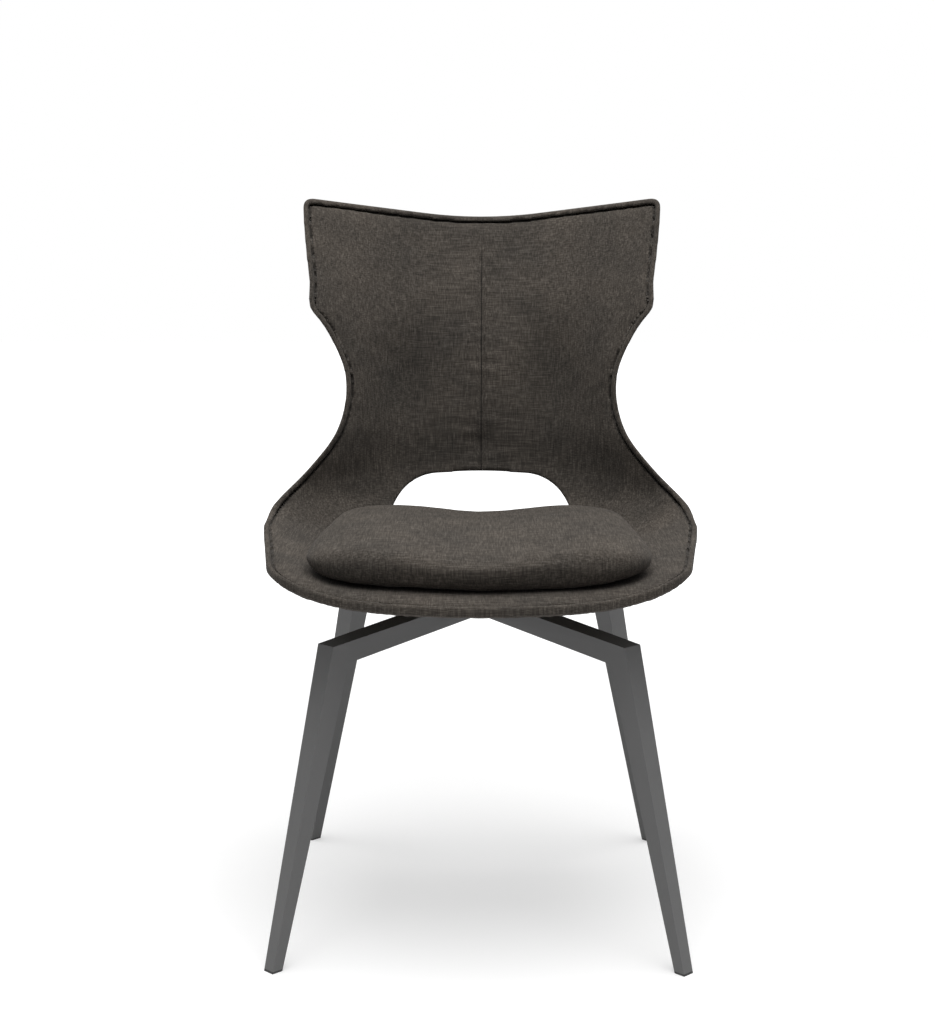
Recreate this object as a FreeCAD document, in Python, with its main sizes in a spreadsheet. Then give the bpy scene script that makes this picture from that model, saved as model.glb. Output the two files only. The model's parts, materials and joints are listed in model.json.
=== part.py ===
import FreeCAD, Part
import Sketcher
import math
import os

from FreeCAD import Placement, Rotation, Vector

# Swivel dining chair: an upholstered shell with a loose seat cushion, on a ball race
# above four tapered box legs. Millimetres, +Z up, +Y to the back, +X to the sitter's left.
# The origin is on the floor, on the swivel axis.

doc = FreeCAD.newDocument("SwivelDiningChair")

# Driving dimensions
SIZES = [
    # Legs and arms, by their distance from the swivel axis
    ("foot_reach", 339.4),
    ("foot_depth", 14.2),
    ("foot_width", 15.7),
    ("bend_reach", 248.6),
    ("bend_height", 368.4),
    ("leg_top_depth", 29.8),
    ("bend_width", 27.4),
    ("arm_rise_angle", 6.63),
    ("arm_depth_bend", 25.6),
    ("arm_depth_hub", 22.2),
    ("arm_width_hub", 34.8),
    ("tube_wall", 2.0),
    ("glide_height", 2.5),
    ("glide_stem", 16.0),
    ("corner_angle", 45.0),
    # Hub and swivel
    ("hub_radius", 30.0),
    ("hub_collar_top", 7.2),
    ("hub_collar_bottom", 2.1),
    ("hub_bore", 10.0),
    ("nut_bay_radius", 17.0),
    ("nut_bay_depth", 13.0),
    ("cap_thickness", 1.5),
    ("base_plate_radius", 60.0),
    ("base_plate_thickness", 4.0),
    ("race_inner", 38.0),
    ("race_outer", 52.0),
    ("race_thickness", 4.5),
    ("ball_circle", 45.0),
    ("ball_radius", 3.0),
    ("ball_sink", 1.0),
    ("ball_fit", 0.08),
    ("cage_fit", 0.15),
    ("ball_count", 12),
    ("cage_inner", 41.0),
    ("cage_outer", 49.0),
    ("cage_thickness", 1.6),
    ("kingpin_radius", 8.0),
    ("kingpin_head_radius", 15.0),
    ("kingpin_head_thickness", 3.0),
    ("bush_flange_radius", 14.0),
    ("bush_flange_thickness", 1.5),
    ("washer_radius", 14.0),
    ("washer_thickness", 1.8),
    ("nut_flats", 24.0),
    ("nut_thickness", 7.0),
    ("top_plate_side", 132.0),
    ("top_plate_thickness", 4.0),
    ("top_plate_corner", 12.0),
    ("screw_offset", 44.0),
    ("screw_radius", 3.0),
    ("screw_hole_radius", 3.4),
    ("screw_head_radius", 6.0),
    ("screw_head_height", 3.5),
    ("tee_nut_barrel_radius", 4.0),
    ("tee_nut_flange_radius", 10.0),
    ("tee_nut_flange_thickness", 1.2),
    # Fits
    ("running_fit", 0.05),
    ("press_fit", 0.02),
    ("seat_fit", 0.1),
    ("layer_gap", 0.2),
    ("soft_gap", 0.3),
    # Shell, front surface on the symmetry plane
    ("lip_start", 150.0),
    ("lip_angle", 6.5),
    ("seat_front", 277.0),
    ("roll_start", 55.0),
    ("roll_radius", 115.0),
    ("roll_angle", 84.22),
    ("back_radius", 1050.0),
    # Shell, flat half width and flank radius at stations from the seat's front to the top
    ("seat_flat", 125.0),
    ("seat_flank", 330.0),
    ("pan_flat", 120.0),
    ("pan_flank", 310.0),
    ("roll_foot_flat", 110.0),
    ("roll_foot_flank", 270.0),
    ("roll_low_flat", 100.0),
    ("roll_low_flank", 235.0),
    ("roll_high_flat", 82.0),
    ("roll_high_flank", 212.0),
    ("roll_head_flat", 50.0),
    ("roll_head_flank", 220.0),
    ("waist_flat", 38.0),
    ("waist_flank", 245.0),
    ("chest_flat", 30.0),
    ("chest_flank", 280.0),
    ("shoulder_flat", 30.0),
    ("shoulder_flank", 380.0),
    ("top_flat", 30.0),
    ("top_flank", 500.0),
    # Shell layers
    ("front_cover_thickness", 8.5),
    ("board_thickness", 8.0),
    ("rear_cover_thickness", 6.1),
    ("seam_inset", 7.0),
    # Seat outline from above
    ("seat_half_width", 268.5),
    ("front_edge_radius", 400.0),
    ("front_corner_radius", 85.0),
    ("side_slant_angle", 7.9),
    ("side_bend_radius", 250.0),
    ("side_bend_place", 10.0),
    # Back outline from the front
    ("top_dip_height", 853.5),
    ("top_dip_radius", 600.0),
    ("wing_tip_height", 883.0),
    ("wing_tip_half_width", 233.5),
    ("wing_tip_radius", 10.0),
    ("wing_foot_height", 742.0),
    ("wing_foot_half_width", 219.0),
    ("wing_foot_radius", 28.0),
    ("waist_height", 644.2),
    ("waist_vertex", 134.3),
    ("waist_radius", 135.0),
    ("flare_height", 527.0),
    ("flare_half_width", 225.0),
    ("flare_radius", 150.0),
    ("flank_height", 484.0),
    ("flank_radius", 25.0),
    # Opening between the back and the seat
    ("arch_height", 527.5),
    ("arch_crown_radius", 540.0),
    ("arch_shoulder_drop", 6.0),
    ("arch_shoulder_half_width", 88.0),
    ("arch_shoulder_radius", 60.0),
    ("arch_side_angle", 35.0),
    ("arch_back_edge", 118.0),
    ("arch_corner_radius", 22.0),
    ("arch_lip", 5.0),
    # Cushion
    ("cushion_front", 247.0),
    ("cushion_front_radius", 420.0),
    ("cushion_half_width", 206.0),
    ("cushion_corner_radius", 60.0),
    ("cushion_rear", 112.0),
    ("cushion_rear_half_width", 178.0),
    ("cushion_thickness", 51.0),
    ("cushion_middle", 40.0),
    ("cushion_dip", 8.0),
    ("cushion_dip_half_width", 115.0),
    ("cushion_side_fall", 16.0),
    ("cushion_front_fall", 16.0),
    ("cushion_belly", 14.0),
    ("cushion_draw_in", 6.0),
    ("cushion_edge_round", 14.0),
    ("cushion_board_width", 230.0),
    ("cushion_board_depth", 190.0),
    ("cushion_board_thickness", 6.0),
    ("cushion_board_middle", 60.0),
    ("cushion_board_corner", 20.0),
    ("strip_width", 25.0),
    ("strip_length", 150.0),
    ("strip_thickness", 2.0),
    ("strip_spacing", 110.0),
]
sheet = doc.addObject("Spreadsheet::Sheet", "Sizes")
for row, (name, value) in enumerate(SIZES, start=1):
    sheet.set(f"A{row}", name)
    sheet.set(f"B{row}", str(value))
    sheet.setAlias(f"B{row}", name)
doc.recompute()
size = {name: float(sheet.get(name)) for name, value in SIZES}


def derive(name, value):
    """Further size worked out from the ones above"""
    row = len(size) + 1
    size[name] = value
    sheet.set(f"A{row}", name)
    sheet.set(f"B{row}", str(round(value, 6)))
    sheet.setAlias(f"B{row}", name)


# Heights of the hub and the swivel, each seated on the one below
arm_rise = (size["bend_reach"] - size["hub_radius"]) * math.tan(math.radians(size["arm_rise_angle"]))
derive("arm_top_at_hub", size["bend_height"] + arm_rise)
derive("hub_top", size["arm_top_at_hub"] + size["hub_collar_top"])
derive("hub_bottom", size["arm_top_at_hub"] - size["arm_depth_hub"] - size["hub_collar_bottom"])
derive("bay_ceiling", size["hub_bottom"] + size["nut_bay_depth"])
derive("base_plate_high", size["hub_top"] + size["base_plate_thickness"])
derive("lower_race_high", size["base_plate_high"] + size["race_thickness"])
derive("ball_height", size["lower_race_high"] + size["ball_radius"] - size["ball_sink"])
derive("upper_race_low", size["ball_height"] + size["ball_radius"] - size["ball_sink"])
derive("upper_race_high", size["upper_race_low"] + size["race_thickness"])
derive("top_plate_high", size["upper_race_high"] + size["top_plate_thickness"])
derive("bush_length", (size["base_plate_high"] - size["bay_ceiling"] - size["seat_fit"]) / 2)
derive("bush_outer", size["hub_bore"] - size["press_fit"])
derive("bush_inner", size["kingpin_radius"] + size["running_fit"])
derive("washer_high", size["bay_ceiling"] - size["bush_flange_thickness"] - size["seat_fit"])
derive("washer_low", size["washer_high"] - size["washer_thickness"])
derive("cap_high", size["hub_bottom"] + size["cap_thickness"])

# Depths of the shell layers behind the front surface, and the height of the seat pan
derive("board_front_depth", size["front_cover_thickness"] + size["layer_gap"])
derive("board_back_depth", size["board_front_depth"] + size["board_thickness"])
derive("rear_cover_depth", size["board_back_depth"] + size["layer_gap"])
derive("shell_depth", size["rear_cover_depth"] + size["rear_cover_thickness"])
derive("pan_height", size["top_plate_high"] + size["seat_fit"] + size["shell_depth"])
derive("board_face_height", size["pan_height"] - size["board_front_depth"])
derive("tee_nut_high", size["board_face_height"] + size["tee_nut_flange_thickness"] + size["layer_gap"])


def reading(text):
    """Value of a sum of sizes, such as 'hub_top - bush_flange_thickness'"""
    sign, value = 1, 0.0
    for word in text.split():
        if word in ("+", "-"):
            sign = 1 if word == "+" else -1
        else:
            value += sign * (size[word] if word in size else float(word))
    return value


def bound(text):
    """The same sum as an expression on the sheet"""
    return " ".join(f"Sizes.{word}" if word in size else word for word in text.split())


def new_sketch(body, name, role, height="0"):
    """Sketch on one of the body's own origin planes, at a height above it"""
    sketch = body.newObject("Sketcher::SketchObject", name)
    plane = next(item for item in body.Origin.OriginFeatures if item.Role == role)
    sketch.AttachmentSupport = (plane, "")
    sketch.MapMode = "FlatFace"
    if height != "0":
        sketch.setExpression("AttachmentOffset.Base.z", bound(height))
    return sketch


def draw_profile(sketch, corners):
    """Closed line profile, each corner held by its two distances from the origin"""
    count = len(corners)
    places = [Vector(reading(across), reading(up), 0) for across, up in corners]
    for index in range(count):
        sketch.addGeometry(Part.LineSegment(places[index], places[(index + 1) % count]), False)
    for index in range(count):
        sketch.addConstraint(Sketcher.Constraint("Coincident", index, 2, (index + 1) % count, 1))
    for index, corner in enumerate(corners):
        for kind, text, axis in (("DistanceX", corner[0], -2), ("DistanceY", corner[1], -1)):
            if text == "0":
                sketch.addConstraint(Sketcher.Constraint("PointOnObject", index, 1, axis))
                continue
            place = sketch.addConstraint(Sketcher.Constraint(kind, -1, 1, index, 1, reading(text)))
            sketch.setExpression(f"Constraints[{place}]", bound(text))


def turned(label, corners):
    """Body turned about the swivel axis from a profile of (radius, height) corners"""
    body = doc.addObject("PartDesign::Body", label)
    profile = new_sketch(body, label + "_profile", "XZ_Plane")
    draw_profile(profile, corners)
    turn = body.newObject("PartDesign::Revolution", label + "_turn")
    turn.Profile = profile
    turn.ReferenceAxis = (profile, ["V_Axis"])
    turn.Angle = 360
    return body


def ring(label, inner, outer, low, high):
    """Plain turned ring"""
    return turned(label, [(inner, low), (outer, low), (outer, high), (inner, high)])


def shaped(label, shape):
    """Part::Feature holding a shape worked out from the sheet"""
    feature = doc.addObject("Part::Feature", label)
    feature.Shape = shape
    return feature


def ruled_solid(sections):
    """Closed solid between two polygons of four corners, with its sides in flat triangles"""
    first, last = sections
    faces = [Part.Face(Part.makePolygon(corners + corners[:1])) for corners in sections]
    for index in range(4):
        after = (index + 1) % 4
        for corners in ((first[index], first[after], last[after]), (first[index], last[after], last[index])):
            faces.append(Part.Face(Part.makePolygon(list(corners) + [corners[0]])))
    solid = Part.Solid(Part.Shell(faces))
    if solid.Volume < 0:
        solid.reverse()
    return solid.removeSplitter()


def meet(first, second):
    """Crossing of two lines, each given by two (reach, height) points"""
    (x1, y1), (x2, y2) = first
    (x3, y3), (x4, y4) = second
    scale = (x1 - x2) * (y3 - y4) - (y1 - y2) * (x3 - x4)
    one, two = x1 * y2 - y1 * x2, x3 * y4 - y3 * x4
    return ((one * (x3 - x4) - (x1 - x2) * two) / scale, (one * (y3 - y4) - (y1 - y2) * two) / scale)


def between(low, high, share):
    return low + (high - low) * share


# Legs and arms: straight tapered box tubes, mitred at the bend and drawn in one radial plane.
# A line there runs through (distance from the swivel axis, height) points.
def leg_width(height):
    return between(size["foot_width"], size["bend_width"], height / size["bend_height"])


def arm_width(reach):
    share = (reach - size["hub_radius"]) / (size["bend_reach"] - size["hub_radius"])
    return between(size["arm_width_hub"], size["bend_width"], share)


def leg_lines(inset):
    """Outer and inner faces of the leg, both drawn in by the inset"""
    foot, bend = size["foot_reach"], size["bend_reach"]
    outer = ((foot - inset, 0.0), (bend - inset, size["bend_height"]))
    inner = ((foot - size["foot_depth"] + inset, 0.0),
             (bend - size["leg_top_depth"] + inset, size["bend_height"]))
    return outer, inner


def arm_lines(inset):
    """Top and bottom faces of the arm, both drawn in by the inset"""
    run = size["bend_reach"] - size["hub_radius"]
    hub_height = size["bend_height"] + run * math.tan(math.radians(size["arm_rise_angle"]))
    top = ((size["bend_reach"], size["bend_height"] - inset), (size["hub_radius"], hub_height - inset))
    bottom = ((size["bend_reach"], size["bend_height"] - size["arm_depth_bend"] + inset),
              (size["hub_radius"], hub_height - size["arm_depth_hub"] + inset))
    return top, bottom


MITRE = ((size["bend_reach"], size["bend_height"]), meet(leg_lines(0.0)[1], arm_lines(0.0)[1]))


def section(first, second, half_width_first, half_width_second):
    """Four corners of a box section between two (reach, height) points"""
    return [Vector(first[0], -half_width_first, first[1]), Vector(first[0], half_width_first, first[1]),
            Vector(second[0], half_width_second, second[1]), Vector(second[0], -half_width_second, second[1])]


def leg_section(height, inset):
    """Level section of the leg at a height"""
    level = ((0.0, height), (1.0, height))
    outer, inner = (meet(line, level) for line in leg_lines(inset))
    half = leg_width(height) / 2 - inset
    return section(outer, inner, half, half)


def mitre_section(lines, inset):
    """Slanted section of a leg or an arm in the plane of the mitre"""
    first, second = (meet(line, MITRE) for line in lines)
    return section(first, second, leg_width(first[1]) / 2 - inset, leg_width(second[1]) / 2 - inset)


def leg_solid(inset):
    return ruled_solid([leg_section(size["glide_height"], inset), mitre_section(leg_lines(inset), inset)])


def arm_solid(inset):
    start = size["hub_radius"] - size["arm_width_hub"] / 4
    upright = ((start, 0.0), (start, 1.0))
    top, bottom = (meet(line, upright) for line in arm_lines(inset))
    half = arm_width(start) / 2 - inset
    return ruled_solid([section(top, bottom, half, half), mitre_section(arm_lines(inset), inset)])


def arm_shape():
    tube = arm_solid(0.0).cut(arm_solid(size["tube_wall"]))
    seat = Part.makeCylinder(size["hub_radius"] + size["press_fit"], size["hub_top"])
    return tube.cut(seat)


def leg_shape():
    return leg_solid(0.0).cut(leg_solid(size["tube_wall"]))


def glide_shape():
    """Moulded foot: a pad the size of the tube end, and a stem that plugs the tube"""
    pad = ruled_solid([leg_section(0.0, 0.0), leg_section(size["glide_height"], 0.0)])
    plug = size["tube_wall"] + size["seat_fit"]
    low, high = size["glide_height"], size["glide_height"] + size["glide_stem"]
    return pad.fuse(ruled_solid([leg_section(low, plug), leg_section(high, plug)]))


CORNERS = (("rear_left", 0), ("rear_right", 1), ("front_right", 2), ("front_left", 3))
for corner, turn in CORNERS:
    rotation = Rotation(Vector(0, 0, 1), size["corner_angle"] + 90 * turn)
    for piece, shape in (("arm", arm_shape()), ("leg", leg_shape()), ("glide", glide_shape())):
        feature = shaped(f"{piece}_{corner}", shape)
        feature.Placement = Placement(Vector(0, 0, 0), rotation)

# Hub, with a bay below for the kingpin nut
turned("hub", [("hub_bore", "bay_ceiling"), ("hub_bore", "hub_top"), ("hub_radius", "hub_top"),
               ("hub_radius", "hub_bottom"), ("nut_bay_radius", "hub_bottom"), ("nut_bay_radius", "bay_ceiling")])
turned("hub_cap", [("0", "hub_bottom"), ("nut_bay_radius - press_fit", "hub_bottom"),
                   ("nut_bay_radius - press_fit", "cap_high"), ("0", "cap_high")])
ring("base_plate", "hub_bore", "base_plate_radius", "hub_top", "base_plate_high")


def flanged_bush(label, near, far, flange):
    """Plain bearing bush with a flange, from its flange face to its far end"""
    turned(label, [("bush_inner", far), ("bush_outer", far), ("bush_outer", near),
                   ("bush_flange_radius", near), ("bush_flange_radius", flange), ("bush_inner", flange)])


flanged_bush("upper_bush", "base_plate_high", "base_plate_high - bush_length",
             "base_plate_high + bush_flange_thickness")
flanged_bush("lower_bush", "bay_ceiling", "bay_ceiling + bush_length", "bay_ceiling - bush_flange_thickness")


def grooved_race(label, low, high, face, apex):
    """Flat race ring with a square cut groove that the balls run in, from its open face to its apex"""
    body = ring(label, "race_inner", "race_outer", low, high)
    track = new_sketch(body, label + "_track", "XZ_Plane")
    draw_profile(track, [("ball_circle - track_half_width", face), ("ball_circle", apex),
                         ("ball_circle + track_half_width", face)])
    groove = body.newObject("PartDesign::Groove", label + "_groove")
    groove.Profile = track
    groove.ReferenceAxis = (track, ["V_Axis"])
    groove.Angle = 360
    return body


derive("track_reach", (size["ball_radius"] + size["ball_fit"]) * math.sqrt(2))
derive("track_half_width", size["track_reach"] - size["ball_radius"] + size["ball_sink"])
grooved_race("lower_race", "base_plate_high", "lower_race_high", "lower_race_high", "ball_height - track_reach")
grooved_race("upper_race", "upper_race_low", "upper_race_high", "upper_race_low", "ball_height + track_reach")


def around(radius, count, height):
    """Evenly spaced places on a level circle about the swivel axis"""
    turns = [2 * math.pi * index / count for index in range(count)]
    return [Vector(radius * math.cos(turn), radius * math.sin(turn), height) for turn in turns]


def circle_pocket(body, name, centres, radius, height):
    """Round holes down through the body, cut from a level sketch"""
    sketch = new_sketch(body, name + "_circles", "XY_Plane", height)
    for index, (across, along) in enumerate(centres):
        centre = Vector(reading(across), reading(along), 0)
        sketch.addGeometry(Part.Circle(centre, Vector(0, 0, 1), reading(radius)), False)
        for kind, text, axis in (("DistanceX", across, -2), ("DistanceY", along, -1)):
            if text == "0":
                sketch.addConstraint(Sketcher.Constraint("PointOnObject", index, 3, -1 if axis == -1 else -2))
                continue
            place = sketch.addConstraint(Sketcher.Constraint(kind, -1, 1, index, 3, reading(text)))
            sketch.setExpression(f"Constraints[{place}]", bound(text))
        place = sketch.addConstraint(Sketcher.Constraint("Radius", index, reading(radius)))
        sketch.setExpression(f"Constraints[{place}]", bound(radius))
    pocket = body.newObject("PartDesign::Pocket", name)
    pocket.Profile = sketch
    pocket.Type = "ThroughAll"
    return pocket


# Cage with one window for each ball
derive("cage_low", size["ball_height"] - size["cage_thickness"] / 2)
cage = ring("ball_cage", "cage_inner", "cage_outer", "cage_low", "cage_low + cage_thickness")
derive("window_half", size["ball_radius"] + size["cage_fit"])
window_sketch = new_sketch(cage, "cage_window_outline", "XY_Plane", "cage_low + cage_thickness")
draw_profile(window_sketch, [("ball_circle - window_half", "0 - window_half"),
                             ("ball_circle + window_half", "0 - window_half"),
                             ("ball_circle + window_half", "window_half"),
                             ("ball_circle - window_half", "window_half")])
window = cage.newObject("PartDesign::Pocket", "cage_window")
window.Profile = window_sketch
window.Type = "ThroughAll"
windows = cage.newObject("PartDesign::PolarPattern", "cage_windows")
windows.Originals = [window]
windows.Axis = (window.Profile[0], ["N_Axis"])
windows.Angle = 360
windows.setExpression("Occurrences", "Sizes.ball_count")
cage.Tip = windows

balls = [Part.makeSphere(size["ball_radius"], place)
         for place in around(size["ball_circle"], int(size["ball_count"]), size["ball_height"])]
shaped("bearing_balls", Part.makeCompound(balls))

# Kingpin and what holds it in the hub
turned("kingpin", [("0", "cap_high + seat_fit"), ("kingpin_radius", "cap_high + seat_fit"),
                   ("kingpin_radius", "upper_race_high - kingpin_head_thickness"),
                   ("kingpin_head_radius", "upper_race_high - kingpin_head_thickness"),
                   ("kingpin_head_radius", "upper_race_high"), ("0", "upper_race_high")])
ring("thrust_washer", "bush_inner", "washer_radius", "washer_low", "washer_high")
blank = doc.addObject("Part::Prism", "nut_blank")
blank.Polygon = 6
blank.setExpression("Circumradius", "Sizes.nut_flats / sqrt(3)")
blank.setExpression("Height", "Sizes.nut_thickness")
blank.setExpression("Placement.Base.z", "Sizes.washer_low - Sizes.nut_thickness")
bore = doc.addObject("Part::Cylinder", "nut_bore")
bore.setExpression("Radius", "Sizes.bush_inner")
bore.setExpression("Height", "Sizes.nut_thickness * 2")
bore.setExpression("Placement.Base.z", "Sizes.washer_low - Sizes.nut_thickness * 1.5")
nut = doc.addObject("Part::Cut", "lock_nut")
nut.Base = blank
nut.Tool = bore

# Top plate, screwed to the shell at its corners
plate = doc.addObject("PartDesign::Body", "top_plate")
derive("top_plate_half", size["top_plate_side"] / 2)
outline_sketch = new_sketch(plate, "top_plate_outline", "XY_Plane", "upper_race_high")
draw_profile(outline_sketch, [("0 - top_plate_half", "0 - top_plate_half"),
                              ("top_plate_half", "0 - top_plate_half"),
                              ("top_plate_half", "top_plate_half"), ("0 - top_plate_half", "top_plate_half")])
pad = plate.newObject("PartDesign::Pad", "top_plate_pad")
pad.Profile = outline_sketch
pad.setExpression("Length", "Sizes.top_plate_thickness")
doc.recompute()
corner_edges = [f"Edge{index}" for index, edge in enumerate(pad.Shape.Edges, start=1)
                if abs(edge.Vertexes[0].X - edge.Vertexes[1].X) < 1e-6
                and abs(edge.Vertexes[0].Y - edge.Vertexes[1].Y) < 1e-6]
rounding = plate.newObject("PartDesign::Fillet", "top_plate_corners")
rounding.Base = (pad, corner_edges)
rounding.setExpression("Radius", "Sizes.top_plate_corner")
SCREWS = [("screw_offset", "screw_offset"), ("0 - screw_offset", "screw_offset"),
          ("0 - screw_offset", "0 - screw_offset"), ("screw_offset", "0 - screw_offset")]
circle_pocket(plate, "screw_holes", SCREWS, "screw_hole_radius", "top_plate_high")
screw_places = [Vector(reading(across), reading(along), 0) for across, along in SCREWS]


def at_screws(low, high, radius):
    """Upright cylinders on the four screw axes"""
    return [Part.makeCylinder(radius, high - low, place + Vector(0, 0, low)) for place in screw_places]


# Hexagon screws from below, into tee nuts on top of the shell board
def hexagon_heads(low, high, radius):
    """Six sided heads on the four screw axes"""
    heads = []
    for place in screw_places:
        corners = [place + Vector(radius * math.cos(math.radians(60 * turn)),
                                  radius * math.sin(math.radians(60 * turn)), low) for turn in range(7)]
        heads.append(Part.Face(Part.makePolygon(corners)).extrude(Vector(0, 0, high - low)))
    return heads


screw_heads = hexagon_heads(size["upper_race_high"] - size["screw_head_height"], size["upper_race_high"],
                            size["screw_head_radius"])
shanks = at_screws(size["upper_race_high"], size["tee_nut_high"] - size["seat_fit"], size["screw_radius"])
shaped("plate_screws", Part.makeCompound([head.fuse(shank) for head, shank in zip(screw_heads, shanks)]))
flanges = at_screws(size["tee_nut_high"] - size["tee_nut_flange_thickness"], size["tee_nut_high"],
                    size["tee_nut_flange_radius"])
barrels = at_screws(size["tee_nut_high"] - size["board_thickness"], size["tee_nut_high"],
                    size["tee_nut_barrel_radius"])
bores = at_screws(size["upper_race_high"], size["pan_height"], size["screw_radius"] + size["running_fit"])
shaped("t_nuts", Part.makeCompound([flange.fuse(barrel).cut(hole)
                                    for flange, barrel, hole in zip(flanges, barrels, bores)]))

# Shell: one doubly curved sheet, cut to its outline from above and from the front.
# A point of it lies at a length along the spine, a width across it and a depth behind it.
ROLL_LENGTH = size["roll_radius"] * math.radians(size["roll_angle"])
LIP_RADIUS = (size["seat_front"] - size["lip_start"]) / math.sin(math.radians(size["lip_angle"]))


def spine(length):
    """Point (y, z) and slope of the front surface on the symmetry plane"""
    pan = size["pan_height"]
    if length < -size["lip_start"]:
        slope = (-size["lip_start"] - length) / LIP_RADIUS
        return -size["lip_start"] - LIP_RADIUS * math.sin(slope), pan - LIP_RADIUS * (1 - math.cos(slope)), slope
    if length < size["roll_start"]:
        return length, pan, 0.0
    run = length - size["roll_start"]
    slope = min(run, ROLL_LENGTH) / size["roll_radius"]
    y = size["roll_start"] + size["roll_radius"] * math.sin(slope)
    z = pan + size["roll_radius"] * (1 - math.cos(slope))
    if run <= ROLL_LENGTH:
        return y, z, slope
    lean = slope - (run - ROLL_LENGTH) / size["back_radius"]
    return (y + size["back_radius"] * (math.sin(slope) - math.sin(lean)),
            z + size["back_radius"] * (math.cos(lean) - math.cos(slope)), lean)


# Stations along the spine
ROLL_END = size["roll_start"] + ROLL_LENGTH
STATIONS = [
    (-size["lip_start"], size["seat_flat"], size["seat_flank"]),
    (0.0, size["pan_flat"], size["pan_flank"]),
    (size["roll_start"] + 20, size["roll_foot_flat"], size["roll_foot_flank"]),
    (between(size["roll_start"], ROLL_END, 0.35), size["roll_low_flat"], size["roll_low_flank"]),
    (between(size["roll_start"], ROLL_END, 0.65), size["roll_high_flat"], size["roll_high_flank"]),
    (ROLL_END, size["roll_head_flat"], size["roll_head_flank"]),
    (ROLL_END + 80, size["waist_flat"], size["waist_flank"]),
    (ROLL_END + 160, size["chest_flat"], size["chest_flank"]),
    (ROLL_END + 260, size["shoulder_flat"], size["shoulder_flank"]),
    (ROLL_END + 390, size["top_flat"], size["top_flank"]),
]


def station_value(length, place):
    """Value of the stations at a length, in straight steps between them"""
    if length <= STATIONS[0][0]:
        return STATIONS[0][place]
    for low, high in zip(STATIONS, STATIONS[1:]):
        if length < high[0]:
            return between(low[place], high[place], (length - low[0]) / (high[0] - low[0]))
    return STATIONS[-1][place]


def shell_point(length, width, depth):
    y, z, slope = spine(length)
    flat = station_value(length, 1)
    flank = station_value(length, 2)
    bend = max(0.0, abs(width) - flat) / flank
    x = min(abs(width), flat) + (flank + depth) * math.sin(bend)
    rise = flank - (flank + depth) * math.cos(bend)
    return Vector(math.copysign(x, width), y - rise * math.sin(slope), z + rise * math.cos(slope))


SHEET_ROWS = 24
SHEET_COLUMNS = 15
SHEET_START = -size["seat_front"] - 43
SHEET_END = ROLL_END + 378
SHEET_HALF_WIDTH = size["seat_half_width"] + 21.5


def sheet_face(depth):
    """Smooth surface at one depth"""
    grid = []
    for row_index in range(SHEET_ROWS):
        length = between(SHEET_START, SHEET_END, row_index / (SHEET_ROWS - 1))
        widths = [between(-SHEET_HALF_WIDTH, SHEET_HALF_WIDTH, column / (SHEET_COLUMNS - 1))
                  for column in range(SHEET_COLUMNS)]
        grid.append([shell_point(length, width, depth) for width in widths])
    surface = Part.BSplineSurface()
    surface.interpolate(grid)
    return surface.toShape()


def middle(edge):
    return edge.valueAt((edge.FirstParameter + edge.LastParameter) / 2)


def shell_sheet(near, far):
    """Closed solid between two depths"""
    front, back = sheet_face(near), sheet_face(far)
    sides = []
    for edge in front.Edges:
        match = min(back.Edges, key=lambda other: (middle(other) - middle(edge)).Length)
        sides.append(Part.makeRuledSurface(edge, match))
    skin = Part.Shell([front, back] + sides)
    skin.sewShape()
    solid = Part.Solid(skin)
    if solid.Volume < 0:
        solid.reverse()
    return solid


def rounded_outline(corners):
    """Closed outline through (across, up, radius) corners, in the XY plane"""
    count = len(corners)
    ends = []
    for index in range(count):
        corner = Vector(corners[index][0], corners[index][1], 0)
        radius = corners[index][2]
        back = Vector(corners[index - 1][0], corners[index - 1][1], 0) - corner
        ahead = Vector(corners[(index + 1) % count][0], corners[(index + 1) % count][1], 0) - corner
        back.normalize()
        ahead.normalize()
        if radius <= 0:
            ends.append((corner, corner, None))
            continue
        half = back.getAngle(ahead) / 2
        inward = back + ahead
        inward.normalize()
        centre = corner + inward * (radius / math.sin(half))
        tangent = radius / math.tan(half)
        ends.append((corner + back * tangent, corner + ahead * tangent, centre - inward * radius))
    edges = []
    for index in range(count):
        start, end, top = ends[index]
        if top is not None:
            edges.append(Part.Arc(start, top, end).toShape())
        following = ends[(index + 1) % count][0]
        if (following - end).Length > 1e-6:
            edges.append(Part.LineSegment(end, following).toShape())
    return Part.Wire(edges)


def mirrored(corners):
    """Corners on and right of the middle, followed by their mirror images"""
    left = [(-across, up, radius) for across, up, radius in reversed(corners) if abs(across) > 1e-9]
    return corners + left


def grown(wire, distance):
    """Face of a wire moved outward by a distance"""
    face = Part.Face(wire)
    if distance == 0:
        return face
    return face.makeOffset2D(distance, 2)


def front_prism(inset):
    """Everything inside the back's outline as seen from the front"""
    outline = rounded_outline(mirrored([
        (0.0, size["top_dip_height"], size["top_dip_radius"]),
        (size["wing_tip_half_width"], size["wing_tip_height"], size["wing_tip_radius"]),
        (size["wing_foot_half_width"], size["wing_foot_height"], size["wing_foot_radius"]),
        (size["waist_vertex"], size["waist_height"], size["waist_radius"]),
        (size["flare_half_width"], size["flare_height"], size["flare_radius"]),
        (size["seat_half_width"], size["flank_height"], size["flank_radius"]),
        (size["seat_half_width"], size["pan_height"] - 65, 0.0)]))
    prism = grown(outline, -inset).extrude(Vector(0, 0, 800))
    prism.rotate(Vector(0, 0, 0), Vector(1, 0, 0), 90)
    prism.translate(Vector(0, 400, 0))
    return prism


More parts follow.
